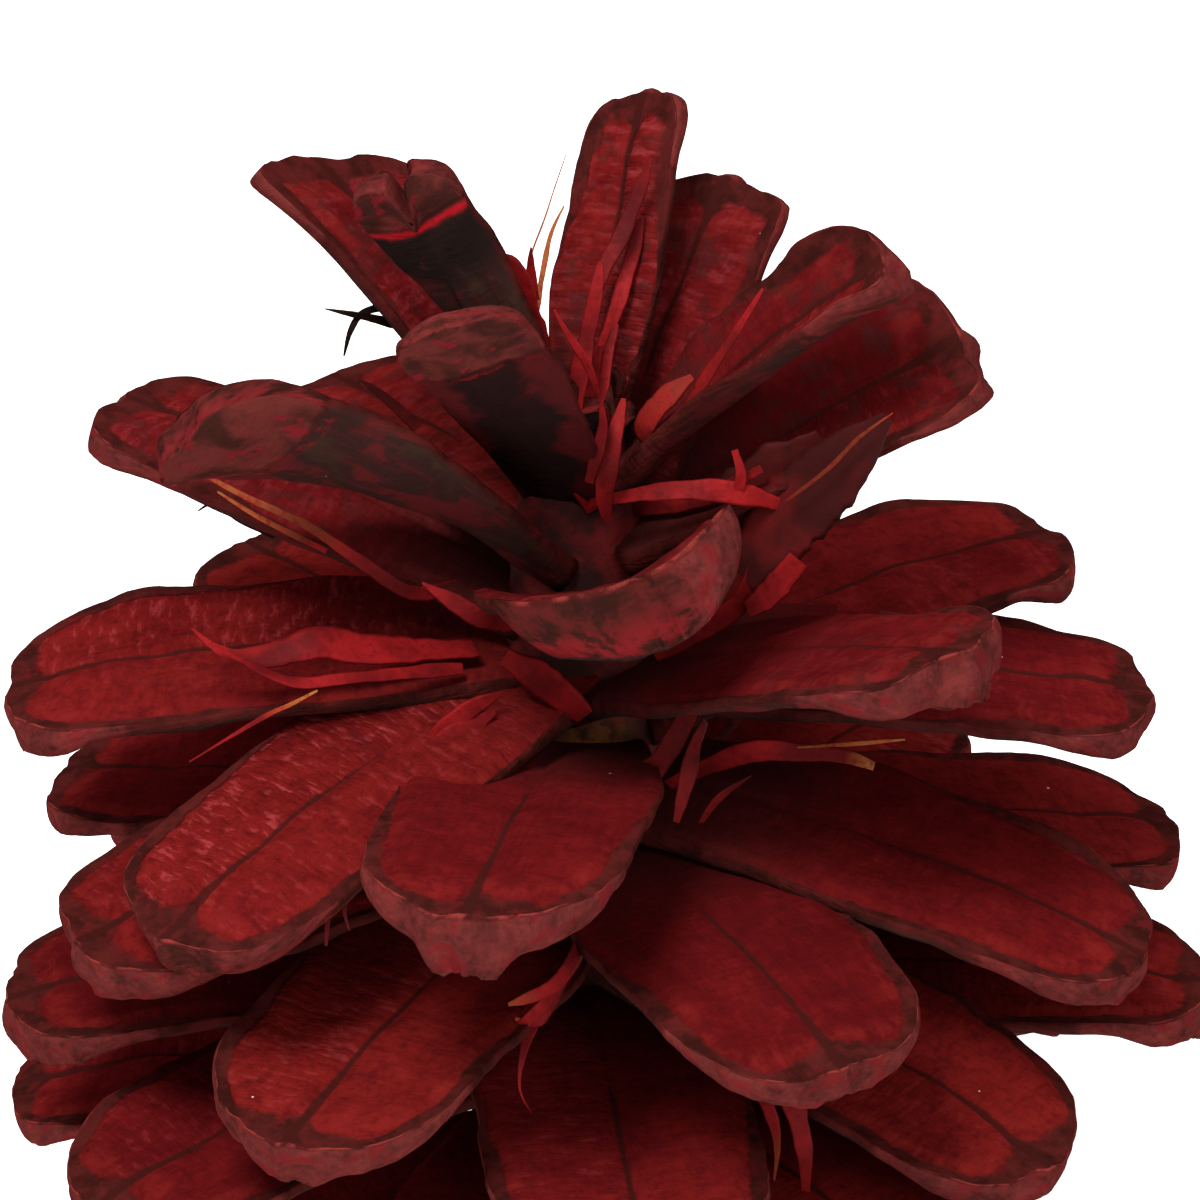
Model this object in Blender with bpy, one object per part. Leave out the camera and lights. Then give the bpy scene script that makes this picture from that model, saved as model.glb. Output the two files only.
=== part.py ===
"""Open pine cone of the black pine kind, stood on its stalk end, apex up.

One natural piece: a woody core with the seed scales grown on it in a spiral.
Units are metres, +Z is up, the origin is the middle of the stalk scar.
The photo looks along +Y, so the azimuth of a scale is 0 toward the viewer and grows to the right.
"""
import math

import bpy
import numpy as np

MM = 0.001

# The spiral: each scale stands a golden angle on from the one below it.
GOLDEN_ANGLE = 137.508
RISE_PER_SCALE = 0.86 * MM
FIRST_SCALE = -31
LAST_SCALE = 30
ZERO_SCALE_HEIGHT = 28.0 * MM
ZERO_SCALE_AZIMUTH = -27.0

# One full grown scale.
SCALE_LENGTH = 26.5 * MM
SCALE_WIDTH = 11.4 * MM
ROOT_DEPTH_SHARE = 0.5
BLADE_THICK = 1.3 * MM
ROOT_EXTRA = 0.8 * MM
TIP_EXTRA = 0.7 * MM
UMBO_EXTRA = 0.4 * MM
END_BULGE = 0.8 * MM
FULL_WIDTH_FROM = 0.50
ROUND_END_FROM = 0.76
ROOT_WIDTH_SHARE = 0.52

# The woody core: radius at each height.
CORE_HEIGHTS = (0.0, 1.2, 4.0, 9.0, 18.0, 30.0, 40.0, 47.0, 51.5)
CORE_RADII = (3.0, 3.2, 4.0, 4.3, 4.3, 4.0, 3.3, 2.6, 1.6)
CORE_SIDES = 14

GROUND_CUT = 30.0 * MM

# Rows and columns of the mesh of one scale, root to tip and side to side.
ALONG = (0.0, 0.24, 0.47, 0.68, 0.83, 0.94, 1.0)
ACROSS = (-1.0, -0.55, 0.0, 0.55, 1.0)


def smooth(value):
    """Ease from 0 to 1."""
    x = min(max(value, 0.0), 1.0)
    return x * x * (3.0 - 2.0 * x)


def width_share(s, blunt):
    """Half outline of a scale: a narrower root, even from half way out, a round or blunt end."""
    swell = math.sin(min(s / FULL_WIDTH_FROM, 1.0) * math.pi / 2.0) ** 1.3
    past = max((s - ROUND_END_FROM) / (1.0 - ROUND_END_FROM), 0.0)
    round_end = (1.0 - 0.97 * past ** blunt) ** (1.0 / 2.1)
    return (ROOT_WIDTH_SHARE + (1.0 - ROOT_WIDTH_SHARE) * swell) * round_end


def grown_scale(k):
    """The scale that the spiral rule gives at place k, before it is looked at in the photo."""
    u = (k - FIRST_SCALE) / 61.0
    old = smooth(u / 0.34)
    young = smooth((u - 0.62) / 0.38)
    return {
        "azimuth": ZERO_SCALE_AZIMUTH + GOLDEN_ANGLE * k,
        "height": ZERO_SCALE_HEIGHT + RISE_PER_SCALE * k,
        "rise": 4.0 + 66.0 * young ** 1.2 - 30.0 * (1.0 - smooth(u / 0.45)),
        "bend": -10.0,
        "length": SCALE_LENGTH * (0.26 + 0.74 * old) * (1.0 - 0.35 * smooth((u - 0.7) / 0.3)),
        "width": SCALE_WIDTH * (0.52 + 0.48 * old) * (1.0 - 0.5 * smooth((u - 0.66) / 0.3)),
        "roll": 0.0,
        "cup": 0.0,
        "thick": 0.75 + 0.25 * old,
        "tip": TIP_EXTRA,
        "boss": UMBO_EXTRA * old,
        "lean": 0.0,
        "blunt": 2.3 + 2.2 * young,
        "slant": 0.0,
        "start": None,
    }


LENGTHS = ("length", "width", "cup", "height", "tip", "boss", "slant", "start")


def as_in_photo(scales, k, **seen):
    """Set how one scale stands in the photo: degrees, and millimetres for lengths."""
    for name, value in seen.items():
        scales[k][name] = value * MM if name in LENGTHS else value


def photo_scales():
    """All scales, the ones the photo shows set by eye and the hidden ones left to the rule."""
    scales = {k: grown_scale(k) for k in range(FIRST_SCALE, LAST_SCALE + 1)}
    # Left side, from the bottom edge of the picture up.
    as_in_photo(scales, -8, azimuth=-52, rise=4.5, bend=-16, length=27, tip=0.6)
    as_in_photo(scales, -11, azimuth=-98, rise=-3, bend=-16, length=26.5)
    as_in_photo(scales, -3, azimuth=-78, rise=2, bend=-14, length=26)
    as_in_photo(scales, 0, azimuth=-29, rise=4, bend=-18, length=25.5, tip=0.6, boss=0.5)
    as_in_photo(scales, 5, azimuth=-61, rise=2.5, bend=-14, length=25, width=11.5)
    as_in_photo(scales, 2, azimuth=-110, rise=2.5, bend=-16, length=25)
    as_in_photo(scales, 13, azimuth=-46, rise=-3, bend=-22, length=25.5, width=10.5, tip=0.6, boss=0.5)
    as_in_photo(scales, 10, azimuth=-90, height=39.5, rise=-0.5, bend=-14, length=25.5, width=12, tip=1.0)
    as_in_photo(scales, 7, azimuth=-138, rise=7, bend=-10, length=23)
    as_in_photo(scales, 15, azimuth=-108, rise=22, bend=-11, length=22.5, width=9, tip=0.6, blunt=4,
                slant=1.0)
    as_in_photo(scales, 18, azimuth=-64, rise=37, bend=-20, length=22, width=8.4, roll=58, tip=0.3, boss=0)
    as_in_photo(scales, 20, azimuth=-140, rise=5, bend=-10, length=17.5, width=8)
    # Middle, from the bottom edge of the picture up.
    as_in_photo(scales, -5, azimuth=6, rise=0.5, bend=-16, length=24, width=12)
    as_in_photo(scales, 8, azimuth=-10, rise=16, bend=-16, length=25, width=11, tip=0.9, boss=1.0)
    as_in_photo(scales, 16, azimuth=10, rise=24, bend=14, length=15, width=11, roll=22, cup=1.4,
                tip=2.2, lean=-0.1, boss=0)
    as_in_photo(scales, 12, rise=3, length=27, width=10.5)
    as_in_photo(scales, 21, azimuth=-27, rise=53, bend=-10, length=19.5, width=5.8, roll=35, tip=0,
                boss=0, thick=0.7, blunt=7)
    # Right side, from the bottom edge of the picture up.
    as_in_photo(scales, -2, azimuth=55, rise=-6.5, bend=-14, length=26, tip=0.6)
    as_in_photo(scales, -7, azimuth=91, rise=4, bend=-12, length=28.5)
    as_in_photo(scales, 3, azimuth=27, rise=6.5, bend=-16, length=25.5, tip=0.3)
    as_in_photo(scales, 6, azimuth=70, rise=-3.5, bend=-17, length=27, tip=0.6)
    as_in_photo(scales, 1, azimuth=108, rise=-2.5, bend=-14, length=29)
    as_in_photo(scales, 14, azimuth=92, rise=-1.2, bend=-10, length=25.5, height=38.5)
    as_in_photo(scales, 11, azimuth=50, rise=25, bend=-8, length=22.8, width=10.5, tip=0.8, boss=0.5)
    as_in_photo(scales, 9, azimuth=120, rise=13.2, bend=-18, length=24.8, width=10.5)
    as_in_photo(scales, 19, azimuth=97, rise=25, bend=9, length=19, width=9.4, roll=26, cup=1.4,
                tip=0.7, blunt=5)
    # The crown.
    as_in_photo(scales, 22, azimuth=81, rise=42, bend=0, length=17.8, width=4.8, roll=24, cup=1.3,
                tip=0.5, blunt=4)
    as_in_photo(scales, 17, azimuth=140, rise=62, bend=-12, length=18.4, width=7.4, tip=0.2, blunt=7,
                slant=-0.7)
    as_in_photo(scales, 25, azimuth=161, rise=55, bend=-6, length=15.4, width=5, roll=-25, tip=0.3, blunt=4)
    as_in_photo(scales, 23, azimuth=-116, rise=49, bend=-12, length=17.7, width=8.2, tip=0.3, blunt=7,
                slant=2.0)
    as_in_photo(scales, 26, azimuth=-66, rise=53, bend=12, length=16.2, width=5, roll=60, tip=0.2,
                blunt=4, slant=0.6)
    as_in_photo(scales, 24, azimuth=-45, height=48.6, rise=74, bend=-6, length=6, width=2.8, tip=0, boss=0)
    for k in range(27, 31):
        as_in_photo(scales, k, height=47 + 0.4 * (k - 27), rise=70, bend=4, length=4, width=3, tip=0,
                    boss=0, start=0.8)
    return scales


def scale_rows(scale):
    """Upper and lower points of one scale, a list of rows from root to tip."""
    core_radius = float(np.interp(scale["height"] / MM, CORE_HEIGHTS, CORE_RADII)) * MM
    start = (scale["start"] or ROOT_DEPTH_SHARE * core_radius) / scale["length"]
    azimuth = math.radians(scale["azimuth"])
    outward = np.array([math.sin(azimuth), -math.cos(azimuth), 0.0])
    sideways = np.array([math.cos(azimuth), math.sin(azimuth), 0.0])
    upward = np.array([0.0, 0.0, 1.0])
    fine = np.linspace(0.0, 1.0, 61)
    slope = np.radians(scale["rise"] + scale["bend"] * fine ** 1.5)
    step = (scale["length"] + END_BULGE) / 60.0
    reach = np.concatenate([[0.0], np.cumsum((np.cos(slope[1:]) + np.cos(slope[:-1])) / 2.0 * step)])
    climb = np.concatenate([[0.0], np.cumsum((np.sin(slope[1:]) + np.sin(slope[:-1])) / 2.0 * step)])
    upper = []
    lower = []
    for along in ALONG:
        s = start + (1.0 - start) * along
        angle = float(np.interp(s, fine, slope))
        middle = outward * float(np.interp(s, fine, reach))
        middle = middle + upward * (scale["height"] + float(np.interp(s, fine, climb)))
        onward = outward * math.cos(angle) + upward * math.sin(angle)
        normal = upward * math.cos(angle) - outward * math.sin(angle)
        roll = math.radians(scale["roll"] * s)
        across_way = sideways * math.cos(roll) + normal * math.sin(roll)
        normal_way = normal * math.cos(roll) - sideways * math.sin(roll)
        half = scale["width"] / 2.0 * width_share(s, scale["blunt"])
        blade = BLADE_THICK + ROOT_EXTRA * (1.0 - smooth(s / 0.3))
        tip = scale["tip"] * smooth((s - 0.80) / 0.14)
        upper_row = []
        lower_row = []
        for t in ACROSS:
            beam = half * t / (scale["width"] / 2.0)
            umbo = scale["boss"] * smooth((s - 0.90) / 0.07) * (1.0 - smooth((abs(beam) - 0.2) / 0.25))
            thick = blade * (1.0 - 0.42 * beam * beam) + umbo
            thick = thick + tip * (1.0 - 0.3 * beam * beam) * (1.0 + scale["lean"] * beam)
            lift = scale["cup"] * beam * beam * smooth(s / 0.5)
            ahead = scale["slant"] * beam * smooth((s - 0.6) / 0.4)
            point = middle + across_way * (half * t) + normal_way * lift + onward * ahead
            upper_row.append(point)
            lower_row.append(point - normal_way * (thick * scale["thick"]))
        upper.append(upper_row)
        lower.append(lower_row)
    return upper, lower


def scale_object(name, scale, collection):
    """One closed scale, its faces turned outward."""
    upper, lower = scale_rows(scale)
    rows = len(ALONG)
    columns = len(ACROSS)
    points = [p for row in upper for p in row] + [p for row in lower for p in row]

    def top(i, j):
        return i * columns + j

    def bottom(i, j):
        return rows * columns + i * columns + j

    faces = []
    for i in range(rows - 1):
        for j in range(columns - 1):
            faces.append((top(i, j), top(i + 1, j), top(i + 1, j + 1), top(i, j + 1)))
            faces.append((bottom(i, j), bottom(i, j + 1), bottom(i + 1, j + 1), bottom(i + 1, j)))
        faces.append((top(i, 0), bottom(i, 0), bottom(i + 1, 0), top(i + 1, 0)))
        last = columns - 1
        faces.append((top(i, last), top(i + 1, last), bottom(i + 1, last), bottom(i, last)))
    for j in range(columns - 1):
        end = rows - 1
        faces.append((top(0, j), top(0, j + 1), bottom(0, j + 1), bottom(0, j)))
        faces.append((top(end, j), bottom(end, j), bottom(end, j + 1), top(end, j + 1)))
    return solid(name, points, faces, collection)


def core_object(name, collection):
    """The core, a turned body that ends in the flat stalk scar below."""
    points = []
    faces = []
    for ring, height in enumerate(CORE_HEIGHTS):
        radius = CORE_RADII[ring] * MM
        for side in range(CORE_SIDES):
            angle = 2.0 * math.pi * side / CORE_SIDES
            points.append((radius * math.cos(angle), radius * math.sin(angle), height * MM))
    for ring in range(len(CORE_HEIGHTS) - 1):
        for side in range(CORE_SIDES):
            after = (side + 1) % CORE_SIDES
            low = ring * CORE_SIDES
            high = low + CORE_SIDES
            faces.append((low + side, low + after, high + after, high + side))
    faces.append(tuple(range(CORE_SIDES - 1, -1, -1)))
    top = (len(CORE_HEIGHTS) - 1) * CORE_SIDES
    faces.append(tuple(range(top, top + CORE_SIDES)))
    return solid(name, points, faces, collection)


def solid(name, points, faces, collection):
    """A mesh object made of flat triangles."""
    mesh = bpy.data.meshes.new(name)
    triangles = []
    for face in faces:
        for i in range(1, len(face) - 1):
            triangles.append((face[0], face[i], face[i + 1]))
    mesh.from_pydata([tuple(map(float, p)) for p in points], [], triangles)
    mesh.update()
    body = bpy.data.objects.new(name, mesh)
    collection.objects.link(body)
    return body


def box_below_ground(collection):
    """What stands below the ground plane is cut off flat, so the cone rests on real flats."""
    half = 60.0 * MM
    corners = [(x * half, y * half, z) for z in (-GROUND_CUT, 0.0) for x, y in ((-1, -1), (1, -1), (1, 1), (-1, 1))]
    sides = [(0, 3, 2, 1), (4, 5, 6, 7), (0, 1, 5, 4), (1, 2, 6, 5), (2, 3, 7, 6), (3, 0, 4, 7)]
    box = solid("ground_cutter", corners, sides, collection)
    box.hide_render = True
    box.display_type = "WIRE"
    return box


def apply_boolean(body, operation, other=None, group=None):
    """Add one Boolean modifier and make it part of the mesh."""
    step = body.modifiers.new("join", "BOOLEAN")
    step.operation = operation
    step.solver = "EXACT"
    if group is not None:
        step.operand_type = "COLLECTION"
        step.collection = group
        step.use_self = True
    else:
        step.object = other
    bpy.context.view_layer.update()
    bpy.context.view_layer.objects.active = body
    bpy.ops.object.modifier_apply(modifier=step.name)


def dyed_wood():
    """Red dyed, dull woody material."""
    material = bpy.data.materials.new("dyed_wood")
    material.use_nodes = True
    shader = material.node_tree.nodes["Principled BSDF"]
    shader.inputs["Base Color"].default_value = (0.19, 0.012, 0.014, 1.0)
    shader.inputs["Roughness"].default_value = 0.6
    shader.inputs["Metallic"].default_value = 0.0
    material.diffuse_color = (0.19, 0.012, 0.014, 1.0)
    return material


for old_object in list(bpy.data.objects):
    bpy.data.objects.remove(old_object, do_unlink=True)

scene_group = bpy.context.scene.collection
scale_group = bpy.data.collections.new("scales_to_join")
scene_group.children.link(scale_group)

pine_cone = core_object("pine_cone", scene_group)
for place, shape in photo_scales().items():
    scale_object("scale_%d" % place, shape, scale_group)

apply_boolean(pine_cone, "UNION", group=scale_group)
for joined in list(scale_group.objects):
    bpy.data.objects.remove(joined, do_unlink=True)
bpy.data.collections.remove(scale_group)

cutter = box_below_ground(scene_group)
apply_boolean(pine_cone, "DIFFERENCE", other=cutter)
bpy.data.objects.remove(cutter, do_unlink=True)

pine_cone.data.materials.clear()
pine_cone.data.materials.append(dyed_wood())
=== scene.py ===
"""Looks of the red dyed pine cone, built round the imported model."""
import math
import random

import bpy
import numpy as np
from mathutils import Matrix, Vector


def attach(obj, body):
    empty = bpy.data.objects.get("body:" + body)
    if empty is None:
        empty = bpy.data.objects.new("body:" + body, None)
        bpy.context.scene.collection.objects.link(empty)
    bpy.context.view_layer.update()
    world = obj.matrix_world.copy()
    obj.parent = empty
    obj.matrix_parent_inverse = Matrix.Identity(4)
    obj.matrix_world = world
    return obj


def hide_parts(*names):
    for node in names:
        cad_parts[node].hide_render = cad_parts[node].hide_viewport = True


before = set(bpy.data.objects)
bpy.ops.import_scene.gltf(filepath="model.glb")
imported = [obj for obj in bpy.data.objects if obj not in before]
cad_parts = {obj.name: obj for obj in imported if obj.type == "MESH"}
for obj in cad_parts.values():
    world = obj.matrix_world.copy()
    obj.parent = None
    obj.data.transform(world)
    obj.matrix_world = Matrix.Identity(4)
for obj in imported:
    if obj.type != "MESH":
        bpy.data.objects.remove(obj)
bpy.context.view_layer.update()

# Camera
# A close product shot from the front, looking down at the cone by 28 degrees.
# The frame cuts off the cone's lower third, as the photograph does.
MM = 0.001
DEGREE = math.pi / 180.0
CAMERA_FALL = math.radians(28.0)
CAMERA_DISTANCE = 420.0 * MM
CAMERA_AIM = Vector((0.98, 2.08, 39.9)) * MM

camera_data = bpy.data.cameras.new("camera")
camera_data.sensor_width = 36.0
camera_data.lens = 283.5
camera_data.clip_start = 0.02
camera_data.clip_end = 10.0
camera = bpy.data.objects.new("camera", camera_data)
bpy.context.scene.collection.objects.link(camera)
camera_back = Vector((0.0, -math.cos(CAMERA_FALL), math.sin(CAMERA_FALL)))
camera.location = CAMERA_AIM + camera_back * CAMERA_DISTANCE
camera.rotation_euler = (math.pi / 2.0 - CAMERA_FALL, 0.0, 0.0)
bpy.context.scene.camera = camera

# Seed scales, where they stand
# Each scale grew a golden angle round from the one below it and 0.86 mm higher.
# The rule gives them all; the ones that the photograph shows are then set one by one.
GOLDEN_ANGLE = 137.508
RISE_PER_SCALE = 0.86
FIRST_SCALE = -31
LAST_SCALE = 30
ZERO_SCALE_HEIGHT = 28.0
ZERO_SCALE_AZIMUTH = -27.0
CORE_HEIGHTS = (0.0, 1.2, 4.0, 9.0, 18.0, 30.0, 40.0, 47.0, 51.5)
CORE_RADII = (3.0, 3.2, 4.0, 4.3, 4.3, 4.0, 3.3, 2.6, 1.6)


def smooth(value):
    """Ease from 0 to 1."""
    x = min(max(value, 0.0), 1.0)
    return x * x * (3.0 - 2.0 * x)


def grown_scale(k):
    """The scale at place k of the spiral: degrees and millimetres."""
    u = (k - FIRST_SCALE) / (LAST_SCALE - FIRST_SCALE)
    old = smooth(u / 0.34)
    young = smooth((u - 0.62) / 0.38)
    height = ZERO_SCALE_HEIGHT + RISE_PER_SCALE * k
    chance = random.Random(500 + k)
    return {
        "azimuth": ZERO_SCALE_AZIMUTH + GOLDEN_ANGLE * k,
        "height": height,
        "rise": 4.0 + 66.0 * young ** 1.2 - 30.0 * (1.0 - smooth(u / 0.45)),
        "bend": -10.0,
        "length": 26.5 * (0.26 + 0.74 * old) * (1.0 - 0.35 * smooth((u - 0.7) / 0.3)),
        "width": 11.4 * (0.52 + 0.48 * old) * (1.0 - 0.5 * smooth((u - 0.66) / 0.3)),
        "roll": 0.0,
        "cup": chance.uniform(-0.3, 0.35),
        "thick": 0.75 + 0.25 * old,
        "tip": chance.uniform(0.5, 0.9),
        "boss": chance.uniform(0.2, 0.6) * old,
        "blunt": 2.3 + 2.2 * young,
        "slant": 0.0,
        "split": 0.0,
        "lean": 0.0,
        "line": 0.0,
        "dust": 1.0,
        "worn_side": 0.0,
        "start": 0.5 * float(np.interp(height, CORE_HEIGHTS, CORE_RADII)),
        "sway": chance.uniform(-0.5, 0.5),
        "seed": chance.uniform(0.0, 100.0),
        "wrinkle": chance.uniform(0.15, 0.8),
        "tone": chance.uniform(0.0, 1.0),
    }


scales = {k: grown_scale(k) for k in range(FIRST_SCALE, LAST_SCALE + 1)}


def seen(k, azimuth, rise, bend, length, **rest):
    """Sets a scale that the photograph shows: degrees round from the front, degrees up, bend, millimetres."""
    scales[k].update(azimuth=azimuth, rise=rise, bend=bend, length=length, **rest)


# Left side, from the bottom edge of the picture up.
seen(-8, -52, 4.5, -16, 27, tip=0.6)
seen(-11, -98, -3, -16, 26.5)
seen(-3, -78, 2, -14, 26, tone=-0.3)
seen(0, -29, 4, -18, 25.5, tip=0.6, boss=0.5, wrinkle=1.0)
seen(5, -61, 2.5, -14, 25, width=11.5)
seen(2, -110, 2.5, -16, 25, tone=0.4)
seen(13, -46, -3, -22, 25.5, width=10.5, tip=0.6, boss=0.5, wrinkle=2.0, tone=0.7, dust=0.5)
seen(10, -90, -0.5, -14, 25.5, height=39.5, width=12, tip=1.0, tone=0.6, wrinkle=1.2)
seen(7, -138, 7, -10, 23)
seen(15, -108, 22, -11, 22.5, width=9, tip=0.6, blunt=4, slant=1.0)
seen(18, -64, 37, -20, 22, width=8.4, roll=58, tip=0.3, boss=0, dust=0.35)
seen(20, -140, 5, -10, 17.5, width=8)
# Middle, from the bottom edge of the picture up.
seen(-5, 6, 0.5, -16, 24, width=12)
seen(8, -10, 16, -16, 25, width=11, tip=0.9, boss=1.0, tone=0.1)
seen(16, 10, 24, 14, 15, width=11, roll=22, cup=1.4, tip=2.2, lean=-0.1, boss=0, dust=0, worn_side=2.4)
scales[12].update(rise=3, length=27, width=10.5)
seen(21, -27, 53, -10, 19.5, width=5.8, roll=35, tip=0, boss=0, thick=0.7, blunt=7, dust=0.6, tone=-2)
# Right side, from the bottom edge of the picture up.
seen(-2, 55, -6.5, -14, 26, tip=0.6)
seen(-7, 91, 4, -12, 28.5)
seen(3, 27, 6.5, -16, 25.5, tip=0.3, tone=-0.3)
seen(6, 70, -3.5, -17, 27, tip=0.6, tone=0.2)
seen(1, 108, -2.5, -14, 29)
seen(14, 92, -1.2, -10, 25.5, height=38.5, tone=-0.1)
seen(11, 50, 25, -8, 22.8, width=10.5, tip=0.8, boss=0.5, tone=-0.1)
seen(9, 120, 13.2, -18, 24.8, width=10.5)
# The scale at place 19 has a low tone, which darkens its bed: partly darker dye, partly painted shade.
seen(19, 97, 25, 9, 19, width=9.4, roll=26, cup=1.4, tip=0.7, blunt=5, tone=-2)
# The crown.
seen(22, 81, 42, 0, 17.8, width=4.8, roll=24, cup=1.3, tip=0.5, blunt=4, tone=-0.4, wrinkle=0.8)
seen(17, 140, 62, -12, 18.4, width=7.4, tip=0.2, blunt=7, slant=-0.7, tone=0.5)
seen(25, 161, 55, -6, 15.4, width=5, roll=-25, tip=0.3, blunt=4, wrinkle=1.4, tone=0.6)
seen(23, -116, 49, -12, 17.7, width=8.2, tip=0.3, blunt=7, slant=2.0, tone=0.1)
seen(26, -66, 53, 12, 16.2, width=5, roll=60, tip=0.2, blunt=4, split=2.2, slant=0.6, line=1, dust=0.7)
seen(24, -45, 74, -6, 6, height=48.6, width=2.8, tip=0, boss=0, dust=0)
for k in range(27, 31):
    scales[k].update(height=47 + 0.4 * (k - 27), rise=70, bend=4, length=4, width=3,
                     tip=0, boss=0, start=0.8, dust=-1, tone=-2)

# Seed scales, their shape
# A woody blade: narrow root, widest at three quarters, a thick blunt tip with a small boss below,
# and on its upper face the two shallow beds that the winged seeds lay in.


class Part:
    """One socket of a node tree, so that sums over a surface read as plain expressions."""

    def __init__(self, tree, socket=None):
        self.tree = tree
        self.socket = socket

    def node(self, kind, settings=None, inputs=None, output=0):
        """Any node: its settings are set first, then its sockets get values or links."""
        made = self.tree.nodes.new(kind)
        for name, value in (settings or {}).items():
            setattr(made, name, value)
        for key, value in (inputs or {}).items():
            if isinstance(value, Part):
                self.tree.links.new(value.socket, made.inputs[key])
            else:
                made.inputs[key].default_value = value
        return Part(self.tree, made.outputs[output])

    def maths(self, operation, first, second=0.0):
        return self.node("ShaderNodeMath", {"operation": operation}, {0: first, 1: second})

    def __add__(self, other):
        return self.maths("ADD", self, other)

    __radd__ = __add__

    def __sub__(self, other):
        return self.maths("SUBTRACT", self, other)

    def __rsub__(self, other):
        return self.maths("SUBTRACT", other, self)

    def __mul__(self, other):
        return self.maths("MULTIPLY", self, other)

    __rmul__ = __mul__

    def __truediv__(self, other):
        return self.maths("DIVIDE", self, other)

    def __rtruediv__(self, other):
        return self.maths("DIVIDE", other, self)

    def __pow__(self, other):
        return self.maths("POWER", self, other)

    def __neg__(self):
        return self.maths("MULTIPLY", self, -1.0)

    def absolute(self):
        return self.maths("ABSOLUTE", self)

    def sine(self):
        return self.maths("SINE", self)

    def cosine(self):
        return self.maths("COSINE", self)

    def least(self, other):
        return self.maths("MINIMUM", self, other)

    def most(self, other):
        return self.maths("MAXIMUM", self, other)

    def ease(self, low, high, start=0.0, end=1.0):
        """Goes smoothly from start to end while this value goes from low to high."""
        settings = {"interpolation_type": "SMOOTHSTEP"}
        return self.node("ShaderNodeMapRange", settings, {0: self, 1: low, 2: high, 3: start, 4: end})

    def hump(self, half_width):
        """A soft hill of height 1 round 0."""
        ratio = self / half_width
        return self.maths("EXPONENT", -(ratio * ratio))

    def spread(self):
        """The three numbers of a vector."""
        made = self.tree.nodes.new("ShaderNodeSeparateXYZ")
        self.tree.links.new(self.socket, made.inputs[0])
        return [Part(self.tree, made.outputs[i]) for i in range(3)]

    def vector(self, x, y, z):
        return self.node("ShaderNodeCombineXYZ", None, {0: x, 1: y, 2: z})

    def noise(self, where, scale, detail=2.0, roughness=0.5, distortion=0.0):
        """Soft noise from 0 to 1 at the given place."""
        inputs = {"Vector": where, "Scale": scale, "Detail": detail}
        inputs.update({"Roughness": roughness, "Distortion": distortion})
        return self.node("ShaderNodeTexNoise", {"noise_dimensions": "3D"}, inputs)

    def blend(self, first, second, amount):
        """One colour over another; a plain colour is given as red, green and blue."""
        under, over = (c if isinstance(c, Part) else (*c, 1.0) for c in (first, second))
        settings = {"data_type": "RGBA", "blend_type": "MIX", "clamp_factor": True}
        return self.node("ShaderNodeMix", settings, {0: amount, 6: under, 7: over}, output=2)


def named(tree, name):
    """A number stored on the points that the tree starts from."""
    return Part(tree).node("GeometryNodeInputNamedAttribute", {"data_type": "FLOAT"}, {"Name": name})


def store(tree, geometry, name, value):
    """Keep a vector on the finished mesh for its material."""
    settings = {"data_type": "FLOAT_VECTOR", "domain": "POINT"}
    inputs = {"Geometry": geometry, "Name": name, "Value": value}
    return Part(tree).node("GeometryNodeStoreNamedAttribute", settings, inputs)


# Share of a scale's length at which its round end begins.
SHOULDER = 0.76


def open_tree(name, sizes):
    """A node tree that takes a mesh, the named sizes and a material, and its inputs by name."""
    tree = bpy.data.node_groups.new(name, "GeometryNodeTree")
    tree.interface.new_socket("Geometry", in_out="INPUT", socket_type="NodeSocketGeometry")
    for label, value in sizes.items():
        socket = tree.interface.new_socket(label, in_out="INPUT", socket_type="NodeSocketFloat")
        socket.default_value = value
    tree.interface.new_socket("Material", in_out="INPUT", socket_type="NodeSocketMaterial")
    tree.interface.new_socket("Geometry", in_out="OUTPUT", socket_type="NodeSocketGeometry")
    entry = tree.nodes.new("NodeGroupInput")
    return tree, {socket.name: Part(tree, socket) for socket in entry.outputs}


def close_tree(tree, shaped, material):
    """Smooth, real and painted: how each tree ends."""
    new = Part(tree)
    shaded = new.node("GeometryNodeSetShadeSmooth", None, {"Geometry": shaped, "Shade Smooth": True})
    real = new.node("GeometryNodeRealizeInstances", None, {"Geometry": shaded})
    painted = new.node("GeometryNodeSetMaterial", None, {"Geometry": real, "Material": material})
    tree.links.new(painted.socket, tree.nodes.new("NodeGroupOutput").inputs[0])
    return tree


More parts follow.
